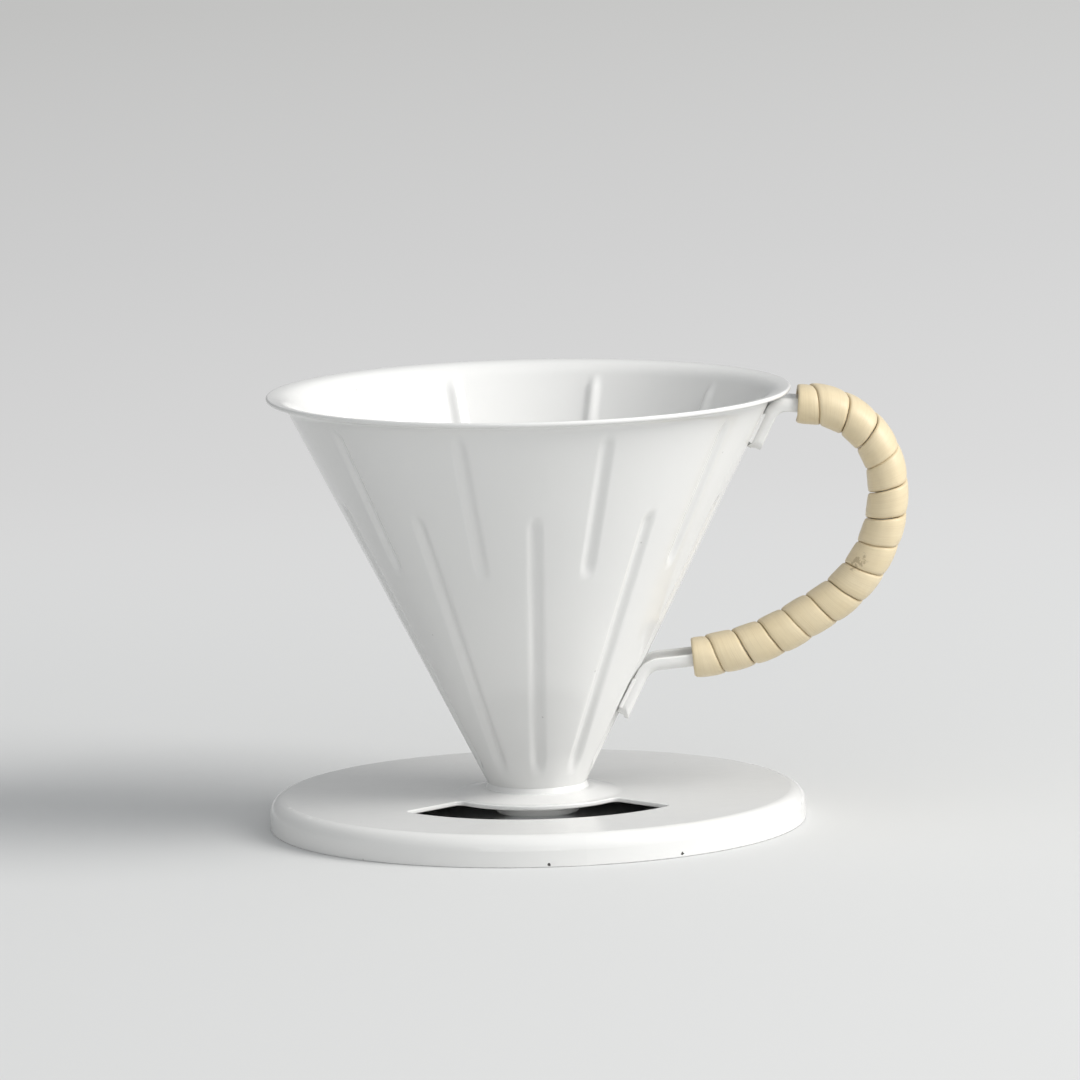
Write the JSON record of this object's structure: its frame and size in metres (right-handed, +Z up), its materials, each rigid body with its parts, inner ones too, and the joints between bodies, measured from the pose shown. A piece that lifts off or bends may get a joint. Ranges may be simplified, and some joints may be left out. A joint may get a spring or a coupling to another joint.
{
  "type": "pour over dripper",
  "caption": "Enamelled steel coffee dripper: ribbed cone on a round base plate with a viewing window, and a side handle wound in split cane.",
  "frame": {"origin": "centre of the base plate's resting edge", "axes": "+Z up along the cone's axis, +X towards the handle, -Y the front, where the base plate has its window"},
  "size_m": [0.1429, 0.1188, 0.0965],
  "materials": {
    "enamel": "glossy white vitreous enamel on steel",
    "cane": "split cane, satin skin side outwards"
  },
  "bodies": {
    "root": {"cone_body": "enamel", "base_plate": "enamel", "foot_weld": "enamel", "handle_strap": "enamel", "tongue_welds": "enamel", "cane_strip": "cane"}
  },
  "joints": []
}
